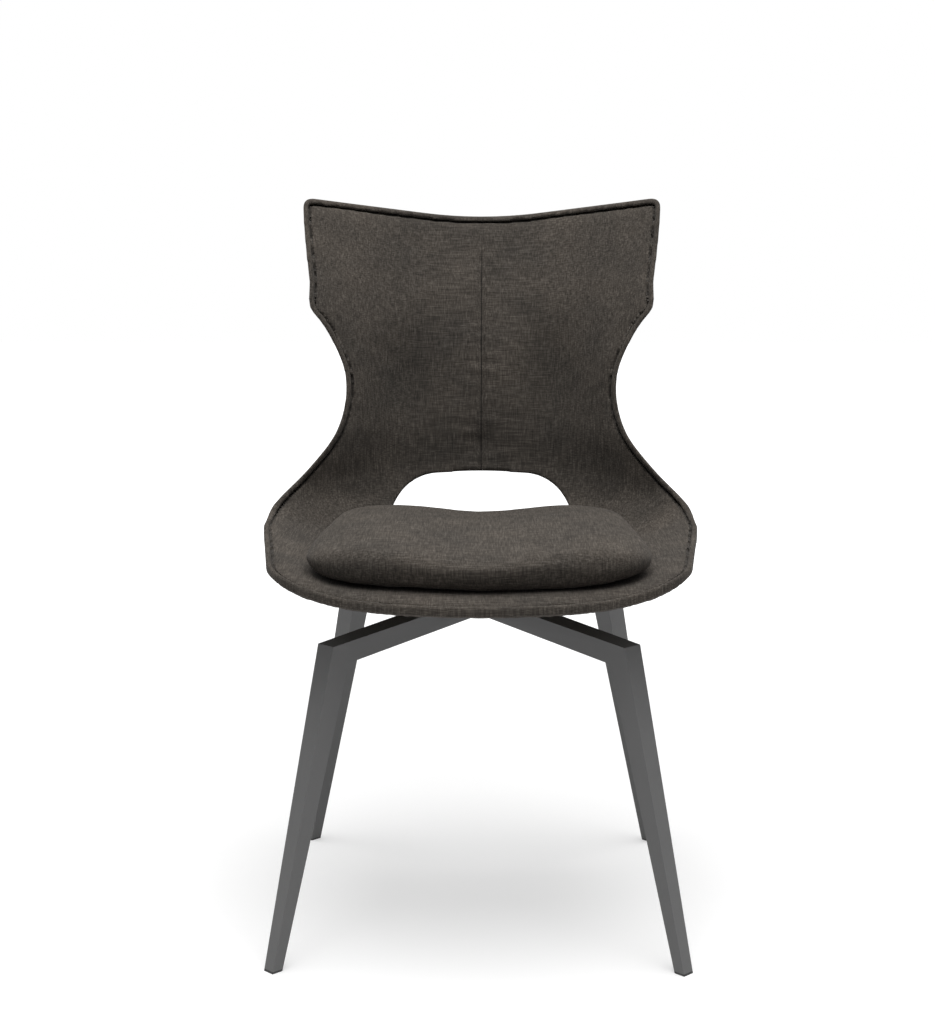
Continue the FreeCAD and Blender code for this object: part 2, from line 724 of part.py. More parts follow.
def plan_prism(inset):
    """Everything inside the seat's outline as seen from above"""
    radius = size["front_edge_radius"]
    slant = math.radians(size["side_slant_angle"])
    rear_slant = math.radians(1.0)
    bend = size["side_bend_radius"]
    side = Vector(size["seat_half_width"], size["side_bend_place"], 0)
    centre_y = -size["seat_front"] + radius
    y = -size["seat_front"]
    for step in range(60):
        x = side.x - (side.y - y) * math.tan(slant)
        y = centre_y - math.sqrt(radius * radius - x * x)
    corner = Vector(x, y, 0)
    tangent = bend * math.tan((slant - rear_slant) / 2)
    start = side - Vector(math.sin(slant), math.cos(slant), 0) * tangent
    end = side + Vector(math.sin(rear_slant), math.cos(rear_slant), 0) * tangent
    centre = start + Vector(-math.cos(slant), math.sin(slant), 0) * bend
    half = (slant + rear_slant) / 2
    top = centre + Vector(math.cos(half), -math.sin(half), 0) * bend
    rear = end + Vector(math.tan(rear_slant), 1, 0) * 320

    def flip(point):
        return Vector(-point.x, point.y, 0)

    wire = Part.Wire([
        Part.Arc(flip(corner), Vector(0, -size["seat_front"], 0), corner).toShape(),
        Part.LineSegment(corner, start).toShape(), Part.Arc(start, top, end).toShape(),
        Part.LineSegment(end, rear).toShape(), Part.LineSegment(rear, flip(rear)).toShape(),
        Part.LineSegment(flip(rear), flip(end)).toShape(),
        Part.Arc(flip(end), flip(top), flip(start)).toShape(),
        Part.LineSegment(flip(start), flip(corner)).toShape()])
    prism = grown(wire, -inset).extrude(Vector(0, 0, 700))
    prism.translate(Vector(0, 0, size["pan_height"] - 85))
    corners = [edge for edge in prism.Edges if len(edge.Vertexes) == 2
               and (edge.Vertexes[0].Point - edge.Vertexes[1].Point).Length > 699
               and edge.Vertexes[0].Y < -size["seat_front"] / 2]
    return prism.makeFillet(size["front_corner_radius"] - inset, corners)


def arch_prism(growth):
    """The opening between the back and the seat, grown all round"""
    slant = math.tan(math.radians(size["arch_side_angle"]))
    shoulder, shoulder_half = size["arch_height"] - size["arch_shoulder_drop"], size["arch_shoulder_half_width"]
    foot = size["pan_height"] - 45
    outline = rounded_outline(mirrored([
        (0.0, size["arch_height"], size["arch_crown_radius"]),
        (shoulder_half, shoulder, size["arch_shoulder_radius"]),
        (shoulder_half + (shoulder - foot) * slant, foot, 0.0)]))
    prism = grown(outline, growth).extrude(Vector(0, 0, -700))
    prism.rotate(Vector(0, 0, 0), Vector(1, 0, 0), 90)
    prism.translate(Vector(0, -200, 0))
    # Seen from above, the near edge turns into the sides with a rounded corner
    near = size["arch_back_edge"]
    sink = math.asin((near - size["roll_start"]) / size["roll_radius"])
    near_height = size["pan_height"] + size["roll_radius"] * (1 - math.cos(sink))
    near_half = shoulder_half + (shoulder - near_height) * slant
    radius = size["arch_corner_radius"]
    plan = rounded_outline([(near_half, near, radius), (near_half + 60, near + 250, 0.0),
                            (-near_half - 60, near + 250, 0.0), (-near_half, near, radius)])
    slab = grown(plan, growth).extrude(Vector(0, 0, 700))
    slab.translate(Vector(0, 0, foot - 100))
    return prism.common(slab)


def largest(shape):
    return max(shape.Solids, key=lambda solid: solid.Volume)


inset = size["seam_inset"]
lap = inset + size["layer_gap"]
lip = size["arch_lip"]
plan_in, front_in = plan_prism(lap), front_prism(lap)
whole = shell_sheet(0.0, size["shell_depth"]).common(plan_prism(0.0)).common(front_prism(0.0))
arch_clear = arch_prism(lip + size["layer_gap"])
screw_holes = at_screws(size["top_plate_high"], size["board_face_height"], size["screw_hole_radius"])
barrel_holes = at_screws(size["top_plate_high"], size["pan_height"],
                         size["tee_nut_barrel_radius"] + size["seat_fit"])
nut_recesses = at_screws(size["top_plate_high"], size["tee_nut_high"] + size["soft_gap"],
                         size["tee_nut_flange_radius"] + size["soft_gap"])

# Moulded board
board = shell_sheet(size["board_front_depth"], size["board_back_depth"]).common(plan_in).common(front_in)
shaped("seat_shell", largest(board.cut(arch_clear).cut(barrel_holes)))

# Padded front cover, inside the seam and through the opening
panel = shell_sheet(0.0, size["front_cover_thickness"]).common(plan_in).common(front_in)
sleeve = whole.cut(arch_prism(0.0)).common(arch_prism(lip))
front_cover = panel.cut(arch_prism(lip)).fuse(sleeve)
shaped("front_cover", largest(front_cover.cut(nut_recesses)))

# Padded rear cover, wrapped over the rim to the seam
core = shell_sheet(-6.0, size["rear_cover_depth"]).common(plan_prism(inset)).common(front_prism(inset))
rear_cover = largest(whole.cut(core).cut(arch_clear))
shaped("rear_cover", largest(rear_cover.cut(screw_holes)))

# Cushion board on two hook and loop strips
derive("strip_low", size["pan_height"] + size["seat_fit"])
derive("strip_high", size["strip_low"] + size["strip_thickness"])
derive("cushion_board_low", size["strip_high"] + size["seat_fit"])
derive("cushion_board_high", size["cushion_board_low"] + size["cushion_board_thickness"])


def board_block(growth, low, high):
    """Rounded slab on the cushion board's outline, grown all round"""
    across = size["cushion_board_width"] / 2
    front = -size["cushion_board_middle"] - size["cushion_board_depth"] / 2
    rear = -size["cushion_board_middle"] + size["cushion_board_depth"] / 2
    radius = size["cushion_board_corner"]
    outline = rounded_outline([(across, front, radius), (across, rear, radius),
                               (-across, rear, radius), (-across, front, radius)])
    slab = grown(outline, growth).extrude(Vector(0, 0, high - low))
    slab.translate(Vector(0, 0, low))
    return slab


shaped("cushion_board", board_block(0.0, size["cushion_board_low"], size["cushion_board_high"]))
strips = []
for side in (-1, 1):
    middle_x = side * size["strip_spacing"] / 2
    corner = Vector(middle_x - size["strip_width"] / 2, -size["cushion_board_middle"] - size["strip_length"] / 2,
                    size["strip_low"])
    strips.append(Part.makeBox(size["strip_width"], size["strip_length"], size["strip_thickness"], corner))
shaped("fastener_strips", Part.makeCompound(strips))


# Seat cushion: drawn-in sides under a crown that dips in the middle
def cushion_outline(inset):
    """Outline from above: a bowed front, rounded corners and sides that close in to the rear"""
    bow = size["cushion_front_radius"]
    turn = math.asin(0.35)
    apex = -size["cushion_front"] - bow * (1 / math.cos(turn) - 1)
    half, rear_half, rear = size["cushion_half_width"], size["cushion_rear_half_width"], size["cushion_rear"]
    side_x = half
    for step in range(20):
        side_y = apex + side_x * math.tan(turn)
        side_x = half + 4 - (half - rear_half) * (side_y + size["cushion_front"]) / (rear + size["cushion_front"])
    corner_radius = size["cushion_corner_radius"]
    corners = [(0.0, apex, bow), (side_x, side_y, corner_radius), (rear_half, rear, corner_radius * 0.8),
               (-rear_half, rear, corner_radius * 0.8), (-side_x, side_y, corner_radius)]
    return rounded_outline(inset_corners(corners, inset))


def inset_corners(corners, inset):
    """Corners of a convex outline moved inward, with the radii that keep it parallel"""
    count = len(corners)
    moved = []
    for index in range(count):
        here = Vector(corners[index][0], corners[index][1], 0)
        back = here - Vector(corners[index - 1][0], corners[index - 1][1], 0)
        ahead = Vector(corners[(index + 1) % count][0], corners[(index + 1) % count][1], 0) - here
        back.normalize()
        ahead.normalize()
        inward = Vector(-back.y - ahead.y, back.x + ahead.x, 0)
        inward.normalize()
        reach = inset / math.cos(back.getAngle(ahead) / 2)
        moved.append((here.x + inward.x * reach, here.y + inward.y * reach, corners[index][2] - inset))
    return moved


def cushion_top(x, y):
    """Height of the crown"""
    dip_width = size["cushion_dip_half_width"]
    height = size["pan_height"] + size["cushion_thickness"]
    if abs(x) < dip_width:
        height -= size["cushion_dip"] * math.cos(math.pi * x / (2 * dip_width)) ** 2
    else:
        share = (abs(x) - dip_width) / (size["cushion_half_width"] - dip_width)
        height -= size["cushion_side_fall"] * share ** 2
    share = (y + size["cushion_middle"]) / (size["cushion_front"] - size["cushion_middle"])
    return height - size["cushion_front_fall"] * share ** 2


def crown_slab():
    """Everything under the crown"""
    across, front, rear = size["cushion_half_width"] + 20, -size["cushion_front"] - 20, size["cushion_rear"] + 20
    grid = [[Vector(x, y, cushion_top(x, y)) for x in [between(-across, across, column / 16) for column in range(17)]]
            for y in [between(front, rear, step / 8) for step in range(9)]]
    surface = Part.BSplineSurface()
    surface.interpolate(grid)
    return surface.toShape().extrude(Vector(0, 0, -200))


def cushion_shape():
    low = size["pan_height"] - 30
    belly = size["pan_height"] + size["cushion_belly"]
    high = size["pan_height"] + size["cushion_thickness"] + 20
    sections = [(low, size["cushion_draw_in"]), (belly, 0.0), (high, size["cushion_draw_in"])]
    wires = []
    for height, inset in sections:
        wire = cushion_outline(inset)
        wire.translate(Vector(0, 0, height))
        wires.append(wire)
    block = Part.makeLoft(wires, True, True)
    block = block.common(crown_slab())
    crown = max(block.Faces, key=lambda face: face.CenterOfMass.z)
    block = block.makeFillet(size["cushion_edge_round"], crown.OuterWire.Edges)
    block = block.cut(shell_sheet(-size["soft_gap"], 60.0))
    block = max(block.Solids, key=lambda solid: solid.CenterOfMass.z)
    return block.cut(board_block(size["soft_gap"], size["pan_height"] - 20,
                                 size["cushion_board_high"] + size["soft_gap"]))


shaped("seat_cushion", cushion_shape())

doc.recompute()
NODES = [item for item in doc.Objects if item.TypeId in ("PartDesign::Body", "Part::Feature", "Part::Cut")
         and item.getParentGeoFeatureGroup() is None and item.Label not in ("nut_blank", "nut_bore")]
for item in doc.Objects:
    if "Invalid" in item.State or "Error" in item.State:
        raise RuntimeError(f"{item.Label} did not build: {item.State}")
for item in NODES:
    if item.Shape.isNull() or not item.Shape.isValid() or item.Shape.Volume <= 0:
        raise RuntimeError(f"{item.Label} has no valid shape")
os.makedirs("parts", exist_ok=True)
for item in NODES:
    item.Shape.exportStep(f"parts/{item.Label}.step")
print(len(NODES), "pieces written")
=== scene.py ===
import json
import math

import bpy
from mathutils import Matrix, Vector, noise
from mathutils.kdtree import KDTree


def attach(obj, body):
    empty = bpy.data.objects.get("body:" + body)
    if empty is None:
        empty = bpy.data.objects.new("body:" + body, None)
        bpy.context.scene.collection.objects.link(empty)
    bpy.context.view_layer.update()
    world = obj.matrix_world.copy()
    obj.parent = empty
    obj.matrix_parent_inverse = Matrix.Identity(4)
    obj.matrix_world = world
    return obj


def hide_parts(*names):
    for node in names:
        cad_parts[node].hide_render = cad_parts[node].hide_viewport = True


# The dressed chair: metres, +Z up, +Y to the back of the chair, origin on the floor under the swivel
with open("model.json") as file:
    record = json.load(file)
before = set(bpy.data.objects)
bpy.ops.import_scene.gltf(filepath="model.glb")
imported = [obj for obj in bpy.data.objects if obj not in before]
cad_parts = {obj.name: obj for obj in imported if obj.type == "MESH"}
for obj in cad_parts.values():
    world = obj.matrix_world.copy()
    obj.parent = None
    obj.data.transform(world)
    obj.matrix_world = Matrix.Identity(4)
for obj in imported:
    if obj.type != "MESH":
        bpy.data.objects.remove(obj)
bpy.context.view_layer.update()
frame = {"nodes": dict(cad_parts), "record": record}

# Camera, fitted to the corners of the four legs
CAMERA_PITCH, CAMERA_TURN = 8.584, 0.8163
FOCAL_PIXELS, PICTURE_HEIGHT, SENSOR = 1844.0, 1024.0, 36.0
camera_data = bpy.data.cameras.new("camera")
camera = bpy.data.objects.new("camera", camera_data)
bpy.context.scene.collection.objects.link(camera)
camera.location = (0.0164, -2.2431, 0.8356)
camera.rotation_euler = (math.radians(90 - CAMERA_PITCH), 0.0, math.radians(CAMERA_TURN))
camera_data.sensor_fit = "AUTO"
camera_data.sensor_width = SENSOR
camera_data.lens = FOCAL_PIXELS * SENSOR / PICTURE_HEIGHT
bpy.context.scene.camera = camera
bpy.context.scene.view_settings.view_transform = "Standard"


class Nodes:
    """Adds and links shader nodes in the tree of a material or a world"""

    def __init__(self, owner, output="ShaderNodeOutputMaterial"):
        self.owner = owner
        owner.use_nodes = True
        self.tree = owner.node_tree
        self.tree.nodes.clear()
        self.output = self.add(output)

    def add(self, kind, **values):
        node = self.tree.nodes.new(kind)
        for key, value in values.items():
            setattr(node, key, value)
        return node

    def feed(self, socket, value):
        """Links another node's socket to this one, or sets a constant on it"""
        if isinstance(value, bpy.types.NodeSocket):
            self.tree.links.new(value, socket)
        else:
            socket.default_value = value

    def made(self, kind, sockets, **values):
        """New node with its sockets fed by name or number"""
        node = self.add(kind, **values)
        for key, value in sockets.items():
            self.feed(node.inputs[key], value)
        return node

    def number(self, operation, first, second=None, clamp=False):
        sockets = {0: first} if second is None else {0: first, 1: second}
        return self.made("ShaderNodeMath", sockets, operation=operation, use_clamp=clamp).outputs[0]

    def above(self, value, start, steepness=None):
        """How far a value lies above a start, from 0 to 1, steepened if asked"""
        rest = self.number("SUBTRACT", value, start, clamp=True)
        return rest if steepness is None else self.number("MULTIPLY", rest, steepness, clamp=True)

    def place(self):
        return self.add("ShaderNodeTexCoord").outputs["Object"]

    def axes(self, source):
        return self.made("ShaderNodeSeparateXYZ", {0: source}).outputs

    def stretched_noise(self, source, scales, detail=2.0, roughness=0.5):
        mapping = self.made("ShaderNodeMapping", {"Scale": scales, "Vector": source})
        return self.made("ShaderNodeTexNoise", {"Scale": 1.0, "Detail": detail, "Roughness": roughness,
                                                "Vector": mapping.outputs[0]}).outputs["Fac"]

    def ramp(self, source, stops):
        node = self.made("ShaderNodeValToRGB", {0: source})
        elements = node.color_ramp.elements
        while len(elements) < len(stops):
            elements.new(0.5)
        for element, (place, colour) in zip(elements, stops):
            element.position = place
            element.color = colour
        return node.outputs[0]

    def mix(self, factor, first, second, blend="MIX"):
        return self.made("ShaderNodeMix", {0: factor, 6: first, 7: second}, data_type="RGBA",
                         blend_type=blend).outputs[2]

    def spread(self, source, to_min, to_max, from_min=0.0, from_max=1.0):
        return self.made("ShaderNodeMapRange", {"From Min": from_min, "From Max": from_max, "To Min": to_min,
                                                "To Max": to_max, "Value": source}).outputs[0]

    def bump(self, height, strength, distance):
        return self.made("ShaderNodeBump", {"Strength": strength, "Distance": distance, "Height": height}).outputs[0]

    def surface(self, sockets):
        """Puts a surface shader with these sockets on the output, and gives back the material"""
        shader = self.made("ShaderNodeBsdfPrincipled", sockets)
        self.feed(self.output.inputs[0], shader.outputs[0])
        return self.owner


def material_nodes(name):
    return Nodes(bpy.data.materials.new(name))


def grey(value, warm=0.0):
    """Linear colour from an sRGB grey level of 0 to 255, warmer with a larger second number"""
    level = (value / 255.0) ** 2.2
    return (level * (1 + warm), level, level * (1 - warm), 1.0)


def dimmed(colour, share):
    return tuple(value * share for value in colour[:3]) + (1,)


# The back starts at this depth. Its seam's line of painted shade has this half width and fades out at this height.
BACK_START, SEAM_HALF, SEAM_FADE = 0.13, 0.0004, 0.845
# Middles of the slack hollows either side of the waist, where shade is painted, and the height under which painted
# shade darkens the back
HOLLOW_ASIDE, HOLLOW_HEIGHT, LOW_BACK = 0.093, 0.655, 0.66
# Shares and colours of the painted shade
SEAM_DARK, HOLLOW_DARK, LOW_DARK = 0.75, 0.30, 0.16
SEAM_SHADE, SLACK_SHADE = (0.004, 0.004, 0.004, 1.0), (0.006, 0.0065, 0.006, 1.0)


def painted_back_shade(n, place, colour):
    """Painted shade on the back: a dark line in its seam, and darker colour in its hollows and low down"""
    x, y, z = n.axes(place)
    off = n.number("ABSOLUTE", x)
    rear = n.number("GREATER_THAN", y, BACK_START)
    line = n.number("SUBTRACT", 1.0, n.above(off, SEAM_HALF, 1100.0), clamp=True)
    below_top = n.above(SEAM_FADE, z, 14.0)
    seam = n.number("MULTIPLY", n.number("MULTIPLY", line, rear), below_top)
    aside = n.number("POWER", n.number("MULTIPLY", n.number("SUBTRACT", off, HOLLOW_ASIDE), 20.0), 2.0)
    height = n.number("POWER", n.number("MULTIPLY", n.number("SUBTRACT", z, HOLLOW_HEIGHT), 15.0), 2.0)
    fall = n.number("EXPONENT", n.number("MULTIPLY", n.number("ADD", aside, height), -1.0))
    hollow = n.number("MULTIPLY", n.number("MULTIPLY", fall, rear), HOLLOW_DARK)
    low = n.number("MULTIPLY", n.number("MULTIPLY", n.above(LOW_BACK, z, 8.0), rear), LOW_DARK)
    # Painted shade in the hollows and low on the back, then a dark line of painted shade in the seam
    colour = n.mix(n.number("ADD", hollow, low), colour, SLACK_SHADE)
    return n.mix(n.number("MULTIPLY", seam, SEAM_DARK), colour, SEAM_SHADE)


def fabric(name, dark, mid, light, seam=False):
    """Melange linen look: uneven threads both ways, with paler slubs, and a fine weave in the bump"""
    n = material_nodes(name)
    place = n.place()
    normal = n.add("ShaderNodeNewGeometry").outputs["Normal"]
    flatness = n.above(n.number("ABSOLUTE", n.axes(normal)[2]), 0.62, 8.0)

    def lengthwise(up, flat, *detail):
        """Threads that are long in Z on the back and in Y on the seat"""
        return n.mix(flatness, n.stretched_noise(place, up, *detail), n.stretched_noise(place, flat, *detail))

    across = n.stretched_noise(place, (40.0, 760.0, 760.0), 3.0, 0.6)
    along = lengthwise((700.0, 400.0, 38.0), (700.0, 38.0, 400.0), 3.0, 0.6)
    cloud = n.stretched_noise(place, (14.0, 14.0, 14.0), 4.0, 0.62)
    slub_across = n.stretched_noise(place, (70.0, 520.0, 520.0), 1.0)
    slub_along = lengthwise((480.0, 300.0, 60.0), (480.0, 60.0, 300.0), 1.0)
    slub = n.number("MAXIMUM", n.above(slub_across, 0.66), n.above(slub_along, 0.64))
    threads = n.number("MULTIPLY", n.number("ADD", across, along), 0.5)
    tone = n.ramp(threads, [(0.34, dark), (0.5, mid), (0.68, light)])
    tone = n.mix(n.number("MULTIPLY", slub, 4.0, clamp=True), tone, light)
    patch = n.ramp(cloud, [(0.3, (0.78, 0.79, 0.80, 1)), (0.7, (1.16, 1.14, 1.12, 1))])
    colour = n.mix(1.0, tone, patch, "MULTIPLY")
    # Painted shade on the back: its seam, its hollows and its low part
    if seam:
        colour = painted_back_shade(n, place, colour)
    weave = n.number("ADD", n.stretched_noise(place, (160.0, 1400.0, 1400.0), 1.0),
                     lengthwise((1400.0, 500.0, 160.0), (1400.0, 160.0, 500.0), 1.0))
    return n.surface({"Base Color": colour, "Roughness": 0.95, "Specular IOR Level": 0.12, "Sheen Weight": 0.1,
                      "Sheen Roughness": 0.5, "Sheen Tint": (0.8, 0.76, 0.72, 1.0),
                      "Normal": n.bump(weave, 0.3, 0.0005)})


def painted(name, colour, roughness=0.42):
    """Satin powder coat with a faint orange peel"""
    n = material_nodes(name)
    place = n.place()
    peel = n.stretched_noise(place, (650.0, 650.0, 650.0), 2.0)
    cloud = n.stretched_noise(place, (25.0, 25.0, 25.0), 3.0)
    return n.surface({"Base Color": n.ramp(cloud, [(0.3, dimmed(colour, 0.95)), (0.7, colour)]),
                      "Roughness": n.spread(cloud, roughness - 0.05, roughness + 0.06),
                      "Specular IOR Level": 0.4, "Normal": n.bump(peel, 0.06, 0.0004)})


def metal(name, colour, roughness):
    """Turned or plated steel, with fine streaks in its polish"""
    n = material_nodes(name)
    streak = n.stretched_noise(n.place(), (1500.0, 1500.0, 90.0), 2.0)
    return n.surface({"Base Color": colour, "Metallic": 1.0,
                      "Roughness": n.spread(streak, roughness - 0.07, roughness + 0.1)})


def plastic(name, colour, roughness=0.5):
    """Moulded plastic with a fine spark texture"""
    n = material_nodes(name)
    spark = n.stretched_noise(n.place(), (1800.0, 1800.0, 1800.0), 3.0)
    return n.surface({"Base Color": n.ramp(spark, [(0.3, dimmed(colour, 0.85)), (0.7, colour)]),
                      "Roughness": roughness, "Normal": n.bump(spark, 0.2, 0.0002)})


def plywood(name, depth):
    """Veneer with long grain across the chair, darker with a smaller depth"""
    n = material_nodes(name)
    grain = n.stretched_noise(n.place(), (6.0, 160.0, 160.0), 5.0, 0.65)
    dark, pale = (0.36, 0.22, 0.11), (0.55, 0.38, 0.22)
    return n.surface({"Base Color": n.ramp(grain, [(0.3, dimmed(dark, depth)), (0.6, dimmed(pale, depth))]),
                      "Roughness": 0.6})


THREADS = (grey(46, 0.13), grey(66, 0.15), grey(94, 0.13))
FABRIC = fabric("linen_melange", *THREADS)
# The same fabric with painted shade on the back, for the front panel
PAINTED_SHADE_FABRIC = fabric("linen_melange_painted_shade", *THREADS, seam=True)
SURFACES = {
    "frame_paint": painted("dark_grey_paint", grey(108)),
    "glide_plastic": plastic("glide_plastic", grey(60)),
    "race_steel": metal("race_steel", (0.55, 0.55, 0.56, 1), 0.3),
    "bush_plastic": plastic("bush_plastic", grey(190, 0.03)),
    "pin_steel": metal("plated_steel", (0.5, 0.5, 0.52, 1), 0.36),
    "plate_steel": painted("black_plate", grey(45)),
    # The shell board is seen only in the gaps between the covers, so its veneer is dimmed nearly to black as painted
    # shade
    "shell_board": plywood("moulded_veneer_painted_shade", 0.12),
    "plywood": plywood("cushion_veneer", 1.0),
    "cover_fabric": FABRIC,
    "cushion_fabric": FABRIC,
    "strip_fabric": fabric("hook_and_loop", grey(20), grey(30), grey(45)),
}
for part in frame["record"]["subparts"]:
    node = frame["nodes"][part["node"]]
    for slot in node.material_slots:
        slot.material = SURFACES[part["material_slot"]]


# Soft pieces
def copy_of(node, name):
    """New object with a copy of a CAD node's mesh"""
    piece = bpy.data.objects.new(name, frame["nodes"][node].data.copy())
    bpy.context.scene.collection.objects.link(piece)
    piece.data.materials.clear()
    piece.data.materials.append(FABRIC)
    return piece


def applied(piece):
    """Applies every modifier on a piece and shades it smooth"""
    graph = bpy.context.evaluated_depsgraph_get()
    mesh = bpy.data.meshes.new_from_object(piece.evaluated_get(graph))
    piece.modifiers.clear()
    old = piece.data
    piece.data = mesh
    bpy.data.meshes.remove(old)
    for polygon in mesh.polygons:
        polygon.use_smooth = True


def remeshed(piece, voxel, rounds):
    """Even quads over the piece, with its hard edges softened by rounds of smoothing"""
    remesh = piece.modifiers.new("remesh", "REMESH")
    remesh.mode = "VOXEL"
    remesh.voxel_size = voxel
    smooth = piece.modifiers.new("smooth", "SMOOTH")
    smooth.iterations = rounds
    smooth.factor = 0.5
    applied(piece)
    return piece


def unit(value):
    """Value held between 0 and 1"""
    return min(1.0, max(0.0, value))


def hill(value, middle, spread):
    """Smooth bump of height 1 about the middle"""
    return math.exp(-((value - middle) / spread) ** 2)


def moved(piece, shift):
    """Moves each point of a piece by what the function gives for its place and normal"""
    normals = [vertex.normal.copy() for vertex in piece.data.vertices]
    for vertex, normal in zip(piece.data.vertices, normals):
        vertex.co += shift(vertex.co, normal)
    piece.data.update()


def tree_of(vertices):
    """Search tree that finds the nearest of these vertices"""
    points = [vertex.co.copy() for vertex in vertices]
    tree = KDTree(len(points))
    for index, point in enumerate(points):
        tree.insert(point, index)
    tree.balance()
    return tree


PANEL_VOXEL, PANEL_ROUNDS = 0.0025, 9
front = remeshed(copy_of("front_cover", "front_panel"), PANEL_VOXEL, PANEL_ROUNDS)
# The front panel takes the fabric with painted shade on its back
front.data.materials[0] = PAINTED_SHADE_FABRIC
rear = remeshed(copy_of("rear_cover", "rear_panel"), PANEL_VOXEL, PANEL_ROUNDS)
near_rear = tree_of(rear.data.vertices)
near_front = tree_of(front.data.vertices)

# The seat's front surface: a flat pan, with flanks that curve up and a lip that curves down
PAN, LIP_START = 0.44501, -0.150
LIP_RADIUS = 0.1270 / math.sin(math.radians(6.5))
FLAT_HALF, FLANK_RADIUS = 0.124, 0.325
# Fold over the front edge, lift of the rim's underside, and thickness of the padded shell
ROLL, RIM_LIFT, SHELL_DEPTH = 0.0046, 0.0085, 0.023


def arc_drop(radius, run):
    """How far an arc falls away from its tangent over a run"""
    return radius - math.sqrt(radius * radius - run * run)


def pan_depth(place):
    """Depth of a point below the front surface of the seat"""
    drop = arc_drop(LIP_RADIUS, max(0.0, LIP_START - place.y))
    rise = arc_drop(FLANK_RADIUS, max(0.0, abs(place.x) - FLAT_HALF))
    return PAN - drop + rise - place.z


def front_weight(place):
    """1 along the front edge of the seat, 0 towards the back"""
    return unit((-0.09 - place.y) / 0.09)


def seat_weight(place):
    """1 over the seat, 0 from the bend up into the back"""
    return unit((0.05 - place.y) / 0.10)


def is_face(normal):
    """True on the side of the front panel that the sitter touches"""
    return normal.z - normal.y > 0.25


def front_shift(place, normal):
    distance = near_rear.find(place)[2]
    if not is_face(normal):
        # The edge under the seam reaches the rear cover
        roll = ROLL * front_weight(place) * hill(distance, 0.0, 0.010)
        return normal * 0.0026 * hill(distance, 0.0, 0.004) - Vector((0, 0, roll))
    # Rounded over into the seam
    sink = 0.0008 * hill(distance, 0.0, 0.0042) + 0.0016 * hill(distance, 0.0, 0.012)
    # Seam down the middle of the back, between two soft ridges
    back = unit((place.y - 0.14) / 0.02) * unit((0.865 - place.z) / 0.12)
    x = abs(place.x)
    sink += back * (0.0026 * hill(x, 0.0, 0.0035) - 0.0014 * hill(x, 0.011, 0.008))
    # Puckers along the seam
    ripple = noise.noise(Vector((place.z * 95.0, place.x * 22.0, 3.0)))
    sink += back * 0.0014 * ripple * hill(x, 0.012, 0.02)
    # Hollow at the foot of the seam, slack hollows either side of the waist, and fullness between them
    sink += 0.0045 * hill(x, 0.0, 0.014) * hill(place.z, 0.565, 0.014) * back
    sink += 0.0085 * hill(x, 0.095, 0.040) * hill(place.z, 0.66, 0.060) * back
    sink -= 0.0040 * hill(x, 0.03, 0.05) * hill(place.z, 0.70, 0.10) * back
    # Soft unevenness of the padding
    sink += 0.0012 * noise.noise(Vector((place.x * 14.0, place.y * 10.0, place.z * 14.0 + 7.0)))
    # Creases at the bend of the flanks
    if place.z < 0.60:
        crease = noise.noise(Vector((place.x * 30.0, place.y * 18.0, place.z * 60.0 + 2.0)))
        sink += 0.0010 * crease * unit((x - 0.13) / 0.05)
    # Rolled over the front edge down to the seam
    roll = ROLL * front_weight(place) * hill(distance, 0.0, 0.017)
    return normal * -sink - Vector((0, 0, roll))


moved(front, front_shift)


def is_outer_wall(vertex):
    """True on the upright outside of the rim, round the seat"""
    x, y, z = vertex.co
    return y < 0.06 and z < 0.52 and abs(vertex.normal.z) < 0.6 and (abs(x) > 0.2 or y < -0.22)


outer_wall = tree_of([vertex for vertex in rear.data.vertices if is_outer_wall(vertex)])


def rear_shift(place, normal):
    """Turned over the rim into the seam, and drawn up under the seat's edge"""
    distance = near_front.find(place)[2]
    shift = normal * -0.0007 * hill(distance, 0.0, 0.0025)
    if place.z >= 0.53 or seat_weight(place) <= 0:
        return shift
    depth = pan_depth(place)
    edge = outer_wall.find(place)[2]
    if edge >= 0.03:
        return shift
    share = unit(depth / SHELL_DEPTH)
    down = ROLL * front_weight(place)
    if depth > -0.004:
        down *= (1 - share) ** 0.5
    up = RIM_LIFT * seat_weight(place) * share ** 1.5
    if normal.z < -0.6 or edge < 0.004:
        shift.z += up * hill(edge, 0.0, 0.010)
    if edge < 0.012 and normal.z > -0.6:
        shift.z -= down
    return shift


moved(rear, rear_shift)

# Heights, and what is added there to the solid's half width
DRAWN = [(0.474, 0.0), (0.484, -0.0013), (0.494, -0.0052), (0.504, -0.0060), (0.525, -0.0050),
         (0.547, -0.0027), (0.58, -0.0007), (0.632, -0.0013), (0.658, -0.0020), (0.671, -0.0033),
         (0.684, -0.0046), (0.697, -0.0056), (0.71, -0.0054), (0.723, -0.0046), (0.736, -0.0036),
         (0.749, -0.0024), (0.765, -0.0010), (0.785, 0.0006), (0.81, 0.0018), (0.84, 0.0024),
         (0.88, 0.0020)]


def width_change(height):
    """Change of the half width at a height, read off the table"""
    for low, high in zip(DRAWN, DRAWN[1:]):
        if height < high[0]:
            return low[1] + (high[1] - low[1]) * (height - low[0]) / (high[0] - low[0])
    return DRAWN[-1][1]


def drawn_in(place, _):
    """Fits the outline of the back, and leaves its middle and the seat alone"""
    if place.z <= DRAWN[0][0] or place.y < 0.02:
        return Vector((0, 0, 0))
    share = min(1.0, (abs(place.x) / 0.17) ** 2) * min(1.0, (place.y - 0.02) / 0.03)
    return Vector((math.copysign(width_change(place.z) * share, place.x), 0, 0))


moved(front, drawn_in)
moved(rear, drawn_in)

